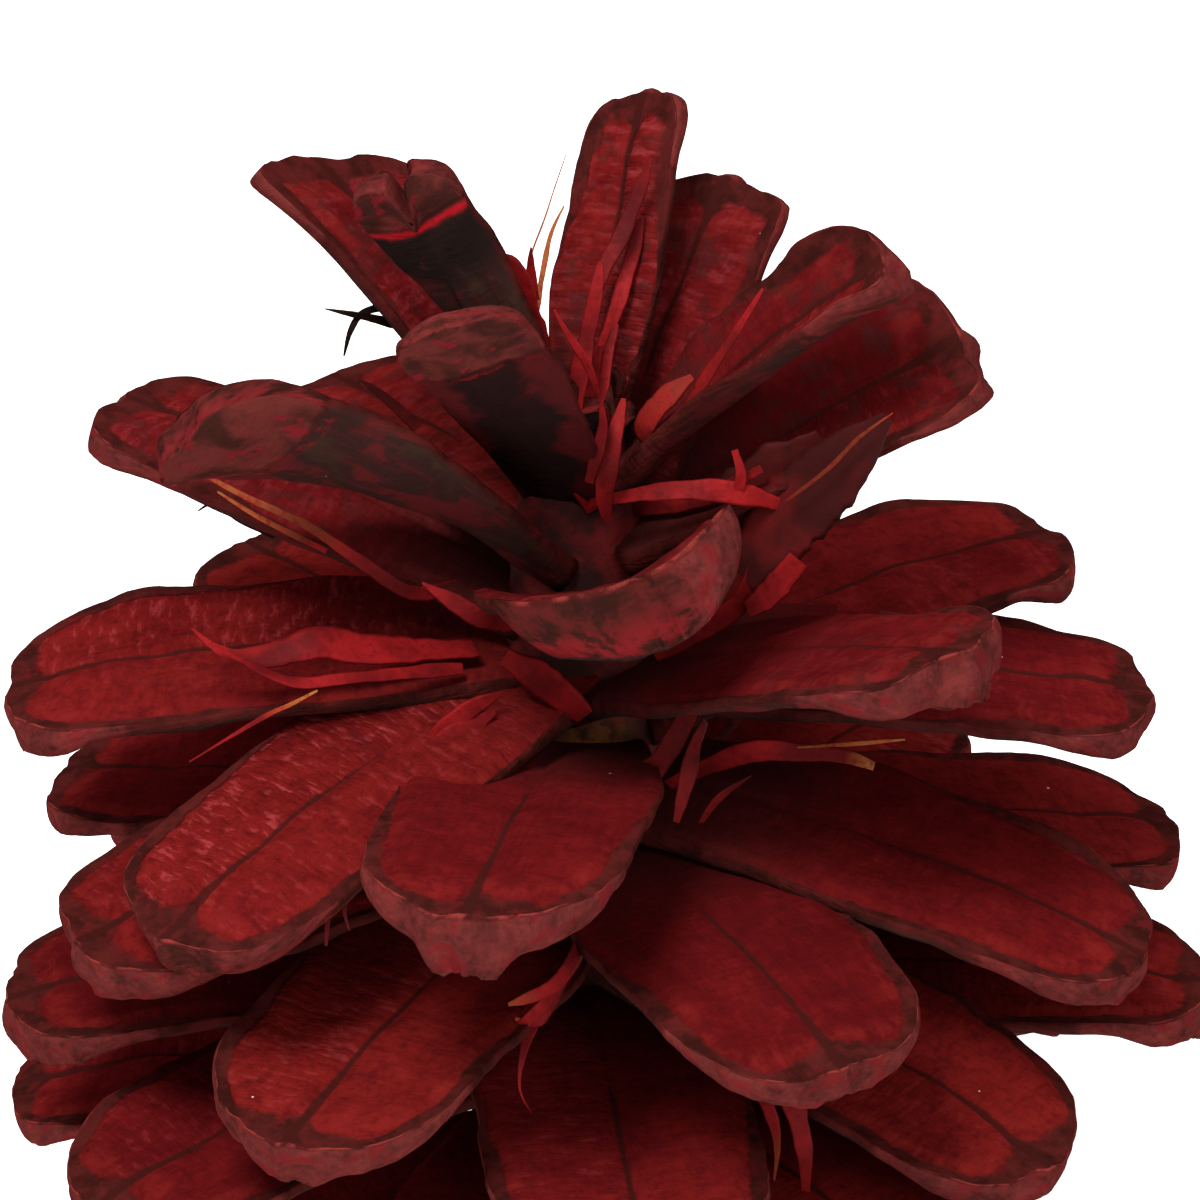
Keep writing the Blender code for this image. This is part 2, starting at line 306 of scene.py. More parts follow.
def scale_tree():
    """Grows every scale of a row from one blank block, by the values on its point."""
    tree, given = open_tree("grow_scales", {
        "Blade Thickness": 1.3, "Root Extra": 0.8, "Ragged Boss": 1.6, "Bed Depth": 0.22,
        "Wrinkle Depth": 0.28, "Edge Wander": 0.16, "Edge Curl": 1.3, "Crumble Depth": 0.16,
    })
    new = Part(tree)

    sizes = {"Size": (1.0, 1.0, 1.0), "Vertices X": 64, "Vertices Y": 37, "Vertices Z": 7}
    blank = new.node("GeometryNodeMeshCube", None, sizes)
    spots = {"Points": given["Geometry"], "Instance": blank}
    placed = new.node("GeometryNodeInstanceOnPoints", None, spots)
    grown = new.node("GeometryNodeRealizeInstances", None, {"Geometry": placed})

    x, y, z = new.node("GeometryNodeInputPosition").spread()
    x = (x + 0.5).most(0.0).least(1.0)
    t = y * 2.0
    t = t * (1.35 - 0.35 * t * t)
    h = z * 2.0
    azimuth = named(tree, "azimuth")
    length = named(tree, "length")
    width = named(tree, "width")
    seed = named(tree, "seed")
    start = named(tree, "start") / length
    s = start + (1.0 - start) * (1.0 - (1.0 - x) ** 1.5)

    # Half width of the blade, with an edge that wanders a little on each side.
    before = (s / 0.5).least(1.0)
    swell = 0.52 + 0.48 * (before * (math.pi / 2.0)).sine() ** 1.3
    past = ((s - SHOULDER) / (1.0 - SHOULDER)).most(0.0)
    round_end = (1.0 - 0.985 * past ** named(tree, "blunt")).most(0.0) ** 0.476
    half = width * 0.5 * swell * round_end
    edge_noise = new.noise(new.vector(s * 7.0, t * 1.3, seed), 1.0, 3.0, 0.6) - 0.5
    half = half * (1.0 + given["Edge Wander"] * edge_noise * s.ease(0.1, 0.4))

    u_mm = s * length
    v_mm = half * t
    beam = v_mm / (width * 0.5)
    side_gap = half - v_mm.absolute()
    tip_gap = (1.0 - s) * length
    lobe = v_mm.absolute() / half.most(0.1) * 2.0 - 1.0
    lobe = lobe * lobe
    rim = (side_gap + s.ease(0.4, 0.8, 0.75, 0.0)).least(tip_gap * 0.52 - 0.5 * lobe * lobe)

    blade = given["Blade Thickness"] + given["Root Extra"] * s.ease(0.0, 0.3, 1.0, 0.0)
    tip = named(tree, "tip") * s.ease(0.80, 0.94) * (1.0 + named(tree, "lean") * beam)
    boss_noise = new.noise(new.vector(v_mm * 1.1, seed, 0.5), 1.0, 3.0, 0.7) - 0.5
    ragged = 1.0 + given["Ragged Boss"] * boss_noise
    boss = named(tree, "boss") * ragged * s.ease(0.90, 0.97) * beam.absolute().ease(0.2, 0.45, 1.0, 0.0)
    thick = blade * (1.0 - 0.42 * beam * beam) + tip * (1.0 - 0.3 * beam * beam) + boss
    thick = thick * named(tree, "thick")

    # Skin of the upper face: puffed seed beds, a groove between them, fine cross wrinkles.
    upper = h.ease(0.9, 1.0)
    bed = rim.ease(0.7, 1.3) * v_mm.absolute().ease(0.05, 0.55) * s.ease(0.1, 0.3)
    skin_place = new.vector(u_mm * 1.9, v_mm * 0.45, seed)
    wrinkle = (new.noise(skin_place, 1.0, 3.0, 0.6, 0.6) - 0.5) * named(tree, "wrinkle")
    roll_place = new.vector(u_mm * 0.22, v_mm * 0.3, seed + 3.0)
    swell_noise = new.noise(roll_place, 1.0, 1.0) - 0.5
    relief = upper * (given["Bed Depth"] * (bed - 0.6) + given["Wrinkle Depth"] * wrinkle * bed)

    # Skin of the blunt end and the underside: crumbly, with low ridges along the scale.
    crumb_place = new.vector(u_mm, v_mm, h * thick + seed)
    crumb = new.noise(crumb_place, 0.9, 4.0, 0.65) - 0.5
    ridge_place = new.vector(u_mm * 0.12, v_mm * 1.5, seed + 9.0)
    ridge = new.noise(ridge_place, 1.0, 2.0) - 0.5
    lower = 1.0 - h.ease(-1.0, 0.2)
    relief = relief + lower * (given["Crumble Depth"] * crumb * s.ease(0.8, 0.9) + 0.22 * ridge)
    warp = swell_noise * 0.9 * s.ease(0.2, 0.7)

    # The wall between the two faces bulges out like a rounded edge.
    round_wall = (1.0 - h * h) * thick * 0.2
    outward = t * (t.absolute() ** 9.0) * round_wall
    forward = (x ** 60.0) * (round_wall * (1.0 - t * t) + given["Crumble Depth"] * 1.2 * crumb)
    nick = (new.noise(new.vector(v_mm * 0.3, seed, s * 3.0), 1.0, 3.0, 0.62) - 0.5) * 1.7 * s.ease(0.8, 1.0)
    nick = nick + named(tree, "slant") * beam * s.ease(0.6, 1.0)
    nick = nick - named(tree, "split") * (beam - 0.1).hump(0.12) * s.ease(0.8, 1.0)

    curl_noise = new.noise(new.vector(s * 2.6, t * 0.9, seed + 21.0), 1.0, 2.0) - 0.48
    curl = given["Edge Curl"] * curl_noise * beam.absolute() ** 3.0 * s.ease(0.15, 0.4)
    lift = named(tree, "cup") * beam * beam * s.ease(0.0, 0.5) + warp + curl
    up = lift + relief - thick * (1.0 - h) * 0.5
    roll = (named(tree, "roll") * s) * DEGREE
    lateral = v_mm + outward + named(tree, "sway") * s * s
    across = lateral * roll.cosine() - up * roll.sine()
    rise_up = lateral * roll.sine() + up * roll.cosine()

    turn = (named(tree, "bend") * s ** 1.5) * DEGREE
    rise = named(tree, "rise") * DEGREE
    slope = rise + turn
    mean_slope = rise + turn * 0.4
    ahead = forward + nick
    reach = u_mm * mean_slope.cosine() + ahead * slope.cosine() - rise_up * slope.sine()
    climb = u_mm * mean_slope.sine() + ahead * slope.sine() + rise_up * slope.cosine()
    angle = azimuth * DEGREE
    px = reach * angle.sine() + across * angle.cosine()
    py = across * angle.sine() - reach * angle.cosine()
    pz = (named(tree, "height") + climb).most(0.0)

    grown = store(tree, grown, "place", new.vector(s, t, h))
    grown = store(tree, grown, "skin", new.vector(u_mm, v_mm, seed))
    grown = store(tree, grown, "mark", new.vector(rim, named(tree, "tone"), named(tree, "wrinkle")))
    dust = named(tree, "dust") + named(tree, "worn_side") * beam
    grown = store(tree, grown, "burn", new.vector(named(tree, "line"), beam, dust))
    position = new.vector(px * MM, py * MM, pz * MM)
    shaped = new.node("GeometryNodeSetPosition", None, {"Geometry": grown, "Position": position})
    return close_tree(tree, shaped, given["Material"])


# Seed scales, their dyed wood
# Red dye sits bright on the smooth seed beds, brown where it soaked the rough rim,
# and dusty pink on the thick weathered tip; the underside stays nearly black.


def paint(name, shine, make):
    """A material whose colour, roughness and bump come from the given function."""
    material = bpy.data.materials.new(name)
    material.use_nodes = True
    tree = material.node_tree
    shader = tree.nodes["Principled BSDF"]
    shader.inputs["Specular IOR Level"].default_value = shine
    colour, rough, bump = make(Part(tree))
    tree.links.new(colour.socket, shader.inputs["Base Color"])
    tree.links.new(rough.socket, shader.inputs["Roughness"])
    tree.links.new(bump.socket, shader.inputs["Normal"])
    return material


def dyed_scale(new):
    """A scale's colour, roughness and bump, from the places that are stored on its mesh."""
    place = new.node("ShaderNodeAttribute", {"attribute_name": "place"}, output=1)
    skin = new.node("ShaderNodeAttribute", {"attribute_name": "skin"}, output=1)
    mark = new.node("ShaderNodeAttribute", {"attribute_name": "mark"}, output=1)
    burn = new.node("ShaderNodeAttribute", {"attribute_name": "burn"}, output=1)
    body = new.node("ShaderNodeTexCoord", output=3)
    s, t, h = place.spread()
    u_mm, v_mm, seed = skin.spread()
    rim, tone, wrinkle = mark.spread()
    line, beam, dust = burn.spread()

    # The upper face, its beds and groove, and where the blunt end's wall begins.
    upper = h.ease(0.72, 0.94)
    deep = new.vector(u_mm + h * 1.3, v_mm, seed + h * 1.1)
    side_noise = new.noise(deep, 0.9, 4.0, 0.6)
    edge = rim + (side_noise - 0.5) * 0.7
    bed = edge.ease(0.56, 0.76)
    groove_gap = v_mm.absolute() + (side_noise - 0.5) * 0.3 + s.ease(0.3, 0.6, 0.3, 0.0)
    groove = (groove_gap - s.ease(0.76, 0.92, 0.0, 0.1)).ease(0.06, 0.22, 1.0, 0.0)
    blunt_end = s + (side_noise - 0.5) * 0.03 - line * 0.07
    wall = blunt_end.ease(0.765, 0.785) * (1.0 - upper)
    scorch = (blunt_end - 0.755).hump(0.011) * h.ease(-0.7, -0.2, 1.0, 0.0)
    # A painted highlight along the rounded edge between the upper face and the blunt end's wall.
    rim_highlight = h.ease(0.76, 0.90) * h.ease(0.95, 1.0, 1.0, 0.0) * s.ease(0.78, 0.90)

    # Noises along the grain, across it and through the body.
    grain_place = new.vector(u_mm * 0.5 + h * 1.7, v_mm * 3.2, seed)
    grain = new.noise(grain_place, 1.0, 4.0, 0.6)
    cross_place = new.vector(u_mm * 2.6, v_mm * 0.7, seed)
    cross = new.noise(cross_place, 1.0, 3.0, 0.6)
    cloud = new.noise(skin, 0.22, 3.0, 0.55)
    fine = new.noise(body, 2600.0, 4.0, 0.7)
    coarse = new.noise(body, 620.0, 4.0, 0.65)

    # Seed beds: bright dye, dark fibres, painted highlights and painted sheen on the wrinkle crests, painted
    # shade toward the root.
    soaked = (cloud + grain * 0.6 + tone * 0.35 - 0.62) * 1.6
    bed_red = new.blend((0.070, 0.0036, 0.0042), (0.134, 0.0068, 0.0074), soaked)
    brick = new.blend(bed_red, (0.130, 0.0082, 0.0064), (tone + cloud * 0.8).ease(0.85, 1.25) * 0.7)
    bed_red = new.blend(brick, (0.060, 0.003, 0.003), cross.ease(0.52, 0.72) * 0.5)
    creased = wrinkle * t.ease(-0.05, 0.05, 1.0, 0.35)
    # Painted highlight on the crests of the wrinkles.
    crest_highlight = cross.ease(0.46, 0.30) * (creased - 0.3).most(0.0) * 0.34
    bed_red = new.blend(bed_red, (0.34, 0.045, 0.048), crest_highlight)
    bed_red = new.blend(bed_red, (0.045, 0.003, 0.003), fine.ease(0.45, 0.75) * 0.5)
    # Painted sheen on the wrinkled bed.
    painted_sheen = fine.ease(0.55, 0.42) * cross.ease(0.50, 0.36) * creased * 0.3
    bed_red = new.blend(bed_red, (0.21, 0.018, 0.020), painted_sheen)
    mottle = new.noise(deep, 0.85, 5.0, 0.68)
    bed_red = new.blend(bed_red, (0.052, 0.004, 0.005), mottle.ease(0.48, 0.70) * 0.6)
    bed_red = new.blend(bed_red, (0.205, 0.012, 0.015), mottle.ease(0.32, 0.46, 1.0, 0.0) * 0.14)
    # Painted shade toward the root, where the scales above shade the bed.
    root_shade = s.ease(0.15, 0.55, 0.75, 0.0) * tone.ease(0.45, 0.65, 1.0, 0.15)
    bed_red = new.blend(bed_red, (0.038, 0.0095, 0.0085), root_shade)
    # In the crown the beds are both paler and more blotched.
    high = body.spread()[2].ease(0.040, 0.048)
    veil = high * fine.ease(0.4, 0.6) * cross.ease(0.55, 0.4) * tone.ease(-0.5, 0.2) * 0.5
    bed_red = new.blend(bed_red, (0.175, 0.020, 0.023), veil)
    bed_red = new.blend(bed_red, (0.036, 0.009, 0.008), high * coarse.ease(0.50, 0.62) * 0.6)
    # Brighter orange red at the bed's edge near the tip: partly the dye's own colour, partly a painted
    # highlight on the puffed bed.
    shoulder = (edge - 1.0).hump(0.35) * s.ease(0.55, 0.8) * mottle.ease(0.40, 0.60, 1.0, 0.0)
    bed_red = new.blend(bed_red, (0.155, 0.0125, 0.0105), shoulder * 0.35)
    # The rough rim, and the underside with its patches and the black band of the split scale.
    rim_brown = new.blend((0.026, 0.0052, 0.0042), (0.062, 0.0090, 0.0078), coarse.ease(0.35, 0.65))
    rim_brown = new.blend(rim_brown, (0.082, 0.007, 0.008), mottle.ease(0.54, 0.66) * 0.7)
    under_dark = new.blend((0.028, 0.011, 0.0095), (0.070, 0.010, 0.010), grain.ease(0.5, 0.72) * 0.7)
    patch = new.noise(deep, 0.36, 3.0, 0.6, 0.4)
    under_dark = new.blend(under_dark, (0.082, 0.010, 0.010), patch.ease(0.50, 0.62) * 0.85)
    under_dark = new.blend(under_dark, (0.034, 0.018, 0.011), patch.ease(0.34, 0.44, 0.6, 0.0))
    outer = (v_mm.absolute() + (patch - 0.5) * 5.0).ease(1.2, 2.4)
    smoked = new.blend((0.012, 0.0052, 0.0050), (0.060, 0.0070, 0.0078), outer)
    under_dark = new.blend(under_dark, smoked, tone.ease(-1.6, -1.0, 0.85, 0.0))
    under_dark = new.blend(under_dark, (0.014, 0.006, 0.005), (beam - 0.1).hump(0.05) * line)
    soot = blunt_end.ease(0.50, 0.60) * blunt_end.ease(0.735, 0.755, 1.0, 0.0) * line
    under_dark = new.blend(under_dark, (0.014, 0.008, 0.007), soot * patch.ease(0.34, 0.46))
    # The blunt end's wall, dusty where it weathered, with pads below and a bright scorched line.
    weather = coarse * 0.8 + fine * 0.5 + mottle * 0.7 - 0.78
    dusty = new.blend((0.040, 0.0085, 0.0075), (0.130, 0.0205, 0.0185), weather * 2.2)
    dusty = new.blend(dusty, (0.115, 0.008, 0.010), side_noise.ease(0.52, 0.64) * 0.75)
    colour = new.blend(under_dark, rim_brown, h.ease(-0.9, 0.3))
    dull = new.blend((0.022, 0.0065, 0.005), (0.060, 0.0085, 0.0075), mottle.ease(0.38, 0.60))
    low_wall = h.ease(-0.98, -0.9) * h.ease(-0.6, 0.2, 0.8, 0.0)
    dull = new.blend(dull, (0.130, 0.008, 0.010), low_wall * mottle.ease(0.40, 0.55))
    dusty = new.blend(dull, dusty, (dust + (mottle - 0.5) * 1.2).ease(0.1, 0.9))
    colour = new.blend(colour, dusty, wall * h.ease(-1.0, -0.9))
    pad = new.blend((0.036, 0.010, 0.008), (0.100, 0.018, 0.015), patch.ease(0.36, 0.60))
    pad = new.blend(pad, (0.15, 0.009, 0.014), (side_noise - 0.5).ease(0.06, 0.14) * 0.8)
    colour = new.blend(colour, pad, wall * h.ease(-1.0, -0.85, 1.0, 0.0) * dust.ease(0.05, 0.3))
    colour = new.blend(colour, (0.34, 0.007, 0.013), scorch * (line * 0.9 + mottle.ease(0.5, 0.6) * 0.25))

    # The upper face over all of it, a painted highlight along the rounded edge, and a few pale specks.
    top = new.blend(rim_brown, bed_red, bed)
    top = new.blend(top, (0.034, 0.006, 0.005), groove * 0.9)
    colour = new.blend(colour, top, upper)
    colour = new.blend(colour, (0.22, 0.030, 0.026), rim_highlight * side_noise.ease(0.42, 0.6) * 0.75)
    cells = {"Vector": skin, "Scale": 0.42}
    spot = new.node("ShaderNodeTexVoronoi", {"feature": "F1"}, cells)
    spot_colour = new.node("ShaderNodeTexVoronoi", {"feature": "F1"}, cells, output=1)
    pick = new.node("ShaderNodeSeparateColor", None, {0: spot_colour}, output=0)
    speck = spot.ease(0.024, 0.034, 1.0, 0.0) * pick.ease(0.70, 0.72)
    colour = new.blend(colour, (0.62, 0.42, 0.36), speck * 0.8)

    rough = 0.62 - 0.14 * bed * upper + 0.16 * wall + (fine - 0.5) * 0.18
    height = fine * 0.25 + coarse * wall * 1.2 + grain * (0.35 * upper + 0.5 * (1.0 - upper))
    height = height + cross * bed * (0.25 + creased * 0.9)
    bump = new.node("ShaderNodeBump", None, {"Strength": 0.7, "Distance": 0.00026, "Height": height})
    return colour, rough, bump


def point_mesh(name, row):
    """One point for each scale of a row, with the scale's values stored on it."""
    mesh = bpy.data.meshes.new(name)
    mesh.from_pydata([(0.0, 0.0, 0.0)] * len(row), [], [])
    for label in row[0]:
        layer = mesh.attributes.new(label, "FLOAT", "POINT")
        layer.data.foreach_set("value", [float(scale[label]) for scale in row])
    return mesh


def as_plain_mesh(holder, name):
    """The evaluated result of a piece's modifiers as a mesh of its own."""
    graph = bpy.context.evaluated_depsgraph_get()
    mesh = bpy.data.meshes.new_from_object(holder.evaluated_get(graph))
    mesh.name = name
    bpy.data.objects.remove(holder, do_unlink=True)
    piece = bpy.data.objects.new(name, mesh)
    bpy.context.scene.collection.objects.link(piece)
    return piece


def grown_from(tree, name, source, values):
    """Runs a node tree on a mesh and returns the piece as a plain mesh."""
    holder = bpy.data.objects.new(name + "_start", source)
    bpy.context.scene.collection.objects.link(holder)
    modifier = holder.modifiers.new("grow", "NODES")
    modifier.node_group = tree
    for item in tree.interface.items_tree:
        if item.in_out == "INPUT" and item.name in values:
            modifier[item.identifier] = values[item.name]
    return as_plain_mesh(holder, name)


SCALE_ROWS = 13
scale_wood = paint("dyed_scale", 0.0, dyed_scale)
grow_scales = scale_tree()
for number in range(SCALE_ROWS):
    row = [scales[k] for k in sorted(scales) if k % SCALE_ROWS == number]
    name = "scale_row_%02d" % (number + 1)
    piece = grown_from(grow_scales, name, point_mesh(name, row), {"Material": scale_wood})
    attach(piece, "root")
    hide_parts("pine_cone")

# Core and stalk scar
# The woody axis that all scales grow from, ending below in the round scar of the stalk.
# Rough, nearly black between the scales, with a little bare olive brown wood.


def core_mesh(name):
    """A turned body closed at both ends, with a ring of points each half millimetre."""
    sides = 72
    steps = 110
    heights = [CORE_HEIGHTS[-1] * i / steps for i in range(steps + 1)]
    points = []
    faces = []
    for height in heights:
        radius = float(np.interp(height, CORE_HEIGHTS, CORE_RADII)) - 0.1
        for side in range(sides):
            angle = 2.0 * math.pi * side / sides
            points.append((radius * math.cos(angle) * MM, radius * math.sin(angle) * MM, height * MM))
    for ring in range(len(heights) - 1):
        for side in range(sides):
            after = (side + 1) % sides
            low = ring * sides
            faces.append((low + side, low + after, low + sides + after, low + sides + side))
    faces.append(tuple(range(sides - 1, -1, -1)))
    top = (len(heights) - 1) * sides
    faces.append(tuple(range(top, top + sides)))
    mesh = bpy.data.meshes.new(name)
    mesh.from_pydata(points, [], faces)
    mesh.update()
    return mesh


def core_tree():
    """Roughens the core: ridges up its length and small lumps, none at the flat scar."""
    tree, given = open_tree("roughen_core", {"Lump Depth": 0.5})
    new = Part(tree)
    position = new.node("GeometryNodeInputPosition")
    x, y, z = position.spread()
    lumps = new.noise(position, 420.0, 3.0, 0.6) - 0.5
    ridges = new.noise(new.vector(x * 1.6, y * 1.6, z * 0.25), 900.0, 2.0) - 0.5
    between = z.ease(0.0003, 0.0015) * z.ease(0.050, 0.0514, 1.0, 0.0)
    pull = given["Lump Depth"] * (lumps + ridges * 0.6) * MM * between
    radius = ((x * x + y * y) ** 0.5).most(0.0001)
    offset = new.vector(x / radius * pull, y / radius * pull, 0.0)
    shaped = new.node("GeometryNodeSetPosition", None, {"Geometry": given["Geometry"], "Offset": offset})
    return close_tree(tree, shaped, given["Material"])


def core_wood(new):
    """The core's colour, roughness and bump."""
    body = new.node("ShaderNodeTexCoord", output=3)
    coarse = new.noise(body, 380.0, 4.0, 0.6)
    fine = new.noise(body, 1800.0, 4.0, 0.65)
    x, y, z = body.spread()
    colour = new.blend((0.032, 0.011, 0.010), (0.15, 0.013, 0.014), coarse.ease(0.42, 0.68))
    bare = new.noise(body, 240.0, 2.0, 0.5).ease(0.56, 0.66)
    colour = new.blend(colour, (0.14, 0.055, 0.022), bare * fine.ease(0.35, 0.6) * 0.5)
    front = (x / MM - 0.8).hump(1.6) * (z / MM - 35.6).hump(1.3) * y.ease(-0.003, -0.002, 1.0, 0.0)
    colour = new.blend(colour, (0.17, 0.058, 0.012), front * fine.ease(0.3, 0.6))
    scar = z.ease(0.0002, 0.0006, 1.0, 0.0)
    colour = new.blend(colour, (0.11, 0.030, 0.020), scar)
    rough = 0.68 + (fine - 0.5) * 0.2
    height = coarse + fine * 0.4
    bump = new.node("ShaderNodeBump", None, {"Strength": 0.6, "Distance": 0.0003, "Height": height})
    return colour, rough, bump


core_paint = paint("dark_core_wood", 0.05, core_wood)
core = grown_from(core_tree(), "core", core_mesh("core"), {"Material": core_paint})
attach(core, "root")
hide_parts("pine_cone")

# Loose scraps of seed wing, fibres and spines
# Papery bits of the seeds' wings and torn wood that stayed among the scales, soaked in the dye.
# Each is a thin strip along a short path; some end in undyed straw yellow, some are dark dry spines.


def strip_tree():
    """Lays a thin strip along each path of the given mesh, by the width and turn on its points."""
    sizes = {"Thickness Share": 0.14, "Ragged Edge": 0.8, "Crumple Depth": 0.35}
    tree, given = open_tree("lay_strips", sizes)
    new = Part(tree)
    path = new.node("GeometryNodeMeshToCurve", None, {"Mesh": given["Geometry"]})
    path = new.node("GeometryNodeCurveSplineType", {"spline_type": "CATMULL_ROM"}, {"Curve": path})
    path = new.node("GeometryNodeResampleCurve", {"mode": "COUNT"}, {"Curve": path, "Count": 40})
    position = new.node("GeometryNodeInputPosition")
    torn = new.noise(position, 700.0, 3.0, 0.6) - 0.5
    half = named(tree, "half") * MM * (1.0 + given["Ragged Edge"] * torn)
    turn = named(tree, "twist") * DEGREE
    facing = {"Curve": path, "Normal": tuple(camera_back)}
    path = new.node("GeometryNodeSetCurveNormal", {"mode": "FREE"}, facing)
    path = new.node("GeometryNodeSetCurveTilt", None, {"Curve": path, "Tilt": turn})
    flat = {"Width": given["Thickness Share"], "Height": 2.0}
    profile = new.node("GeometryNodeCurvePrimitiveQuadrilateral", {"mode": "RECTANGLE"}, flat)
    profile = new.node("GeometryNodeResampleCurve", {"mode": "COUNT"}, {"Curve": profile, "Count": 16})
    laid = {"Curve": path, "Profile Curve": profile, "Scale": half, "Fill Caps": True}
    strips = new.node("GeometryNodeCurveToMesh", None, laid)
    place = new.node("GeometryNodeInputPosition")
    cloud = {"Vector": place, "Scale": 700.0, "Detail": 3.0}
    x, y, z = new.node("ShaderNodeTexNoise", {"noise_dimensions": "3D"}, cloud, output=1).spread()
    depth = given["Crumple Depth"] * MM * named(tree, "half").least(1.0)
    offset = new.vector((x - 0.5) * depth, (y - 0.5) * depth, (z - 0.5) * depth)
    crumpled = new.node("GeometryNodeSetPosition", None, {"Geometry": strips, "Offset": offset})
    return close_tree(tree, crumpled, given["Material"])


def papery_wing(new):
    """The scraps' colour, roughness and bump."""
    body = new.node("ShaderNodeTexCoord", output=3)
    straw = new.node("ShaderNodeAttribute", {"attribute_name": "straw"}, output=2)
    dark = new.node("ShaderNodeAttribute", {"attribute_name": "dark"}, output=2)
    cloud = new.noise(body, 320.0, 3.0, 0.55)
    fine = new.noise(body, 3000.0, 3.0, 0.6)
    colour = new.blend((0.085, 0.004, 0.005), (0.23, 0.008, 0.009), cloud.ease(0.36, 0.66))
    colour = new.blend(colour, (0.06, 0.003, 0.003), fine.ease(0.45, 0.75) * 0.5)
    colour = new.blend(colour, (0.27, 0.095, 0.024), straw.most(0.0) * fine.ease(0.25, 0.6))
    # The dark value darkens a scrap: on the dry spines it is their own colour, on the flap under the raised
    # right scale and a few strips it is partly painted shade.
    stain_and_shade = new.blend((0.018, 0.0050, 0.0042), (0.042, 0.0052, 0.0050), cloud.ease(0.4, 0.6))
    colour = new.blend(colour, stain_and_shade, dark)
    colour = new.blend(colour, (0.010, 0.004, 0.003), (dark - 0.8) * 5.0)
    rough = 0.5 + (fine - 0.5) * 0.3
    bump = new.node("ShaderNodeBump", None, {"Strength": 0.4, "Distance": 0.0001, "Height": fine})
    return colour, rough, bump


strips = []


def strip(*path, widths, twist=(0, 0), straw=(0, 0), dark=0.0):
    """One strip: path and half widths in mm, its turn away from the viewer in degrees, its straw colour."""
    strips.append((path, widths, twist, straw, dark))


# On the wide left scale, a twisted strip with a thin curled tip and a narrow one below it.
strip((-4.5, -3.0, 40.2), (-8.7, -5.0, 41.2), (-11.2, -6.0, 42.1), (-13.6, -6.5, 41.7),
      (-15.4, -6.5, 41.9), (-16.8, -6.0, 42.8), widths=(0.5, 0.8, 0.75, 0.5, 0.25, 0.05),
      twist=(50, -20))
strip((-5.0, -4.5, 40.0), (-9.9, -7.0, 40.9), (-12.5, -7.5, 41.0), (-15.8, -7.0, 42.5),
      widths=(0.3, 0.3, 0.3, 0.05), twist=(10, 50))
strip((-6.7, -8.0, 46.1), (-5.4, -8.0, 45.2), (-4.1, -7.6, 44.2), (-2.6, -5.0, 42.6),
      widths=(0.05, 0.35, 0.5, 0.5), twist=(0, 30), dark=0.2)
# Behind the short curled scale, a strip across with an upright bit.
strip((0.5, -3.0, 47.4), (3.1, -4.0, 48.4), (5.3, -4.5, 48.8), (7.2, -4.5, 48.6), (8.9, -4.0, 47.8),
      widths=(0.3, 0.4, 0.5, 0.5, 0.3), twist=(-40, 20))
strip((6.9, -4.4, 48.3), (7.1, -4.6, 49.6), (6.8, -4.2, 50.6), widths=(0.25, 0.25, 0.16), twist=(0, 30))
# Under the raised right scale, a strip whose torn end is straw yellow.
strip((4.0, -3.5, 33.6), (7.3, -6.0, 36.6), (9.7, -6.5, 36.9), (11.7, -6.5, 36.7), (13.0, -6.5, 36.2),
      widths=(0.3, 0.5, 0.4, 0.3, 0.22), twist=(30, -20), straw=(-3, 1))
# This strip is darkened, partly as painted shade.
strip((0.5, -6.0, 36.2), (1.8, -7.0, 35.8), (3.6, -7.0, 36.7), (5.3, -6.0, 39.7),
      widths=(0.2, 0.6, 0.6, 0.4), twist=(0, 40), dark=0.5)
# Under the short curled scale, a lump of wing and shreds.
strip((-3.2, -6.0, 41.4), (-1.4, -6.0, 40.1), (0.3, -6.0, 38.4), widths=(0.4, 0.8, 0.5), twist=(0, 30))
# In the gap of the front, torn bits and a thin hanging end.
strip((-3.0, -15.5, 29.4), (-2.0, -15.5, 29.8), (-0.9, -15.0, 30.2), (0.0, -13.0, 30.6),
      (0.6, -9.0, 30.2), widths=(0.08, 0.3, 0.36, 0.36, 0.4), twist=(0, 40), straw=(0.5, -1))
strip((-2.7, -15.5, 28.7), (-1.9, -15.4, 28.4), (-1.2, -15.0, 28.9), (-0.2, -12.0, 29.8),
      widths=(0.08, 0.26, 0.3, 0.4), twist=(20, 60), straw=(0.4, -1))
strip((-3.4, -15.5, 27.3), (-2.6, -15.6, 28.2), (-1.4, -15.4, 29.4), (-0.6, -14.0, 29.8),
      widths=(0.06, 0.22, 0.3, 0.3), twist=(-20, 40))
strip((-3.6, -15.0, 26.6), (-2.8, -15.0, 27.6), (-1.8, -14.6, 28.8), (-0.2, -12.0, 29.6),
      widths=(0.08, 0.3, 0.4, 0.4), twist=(0, 40), dark=0.4)
strip((-0.6, -12.0, 29.4), (-1.9, -15.2, 28.3), (-2.4, -16.0, 27.0), (-2.5, -16.0, 25.4),
      (-2.0, -16.0, 24.2), widths=(0.3, 0.3, 0.14, 0.08, 0.03), twist=(0, 60))
strip((-5.2, -12.0, 23.5), (-4.3, -12.0, 22.9), (-2.5, -9.0, 22.6), widths=(0.1, 0.25, 0.3),
      twist=(0, 30))
# Below the right front scale, a hanging strip.
strip((7.0, -11.0, 27.6), (9.2, -15.0, 24.8), (9.9, -15.5, 22.0), (10.0, -15.0, 19.6),
      widths=(0.4, 0.5, 0.36, 0.2), twist=(-20, 20), dark=0.2)
strip((6.2, -11.0, 27.6), (8.2, -15.2, 24.4), (8.7, -15.6, 22.4), (8.6, -15.4, 20.4),
      widths=(0.4, 0.36, 0.2, 0.05), twist=(20, 50), straw=(-0.5, 0.5), dark=0.3)
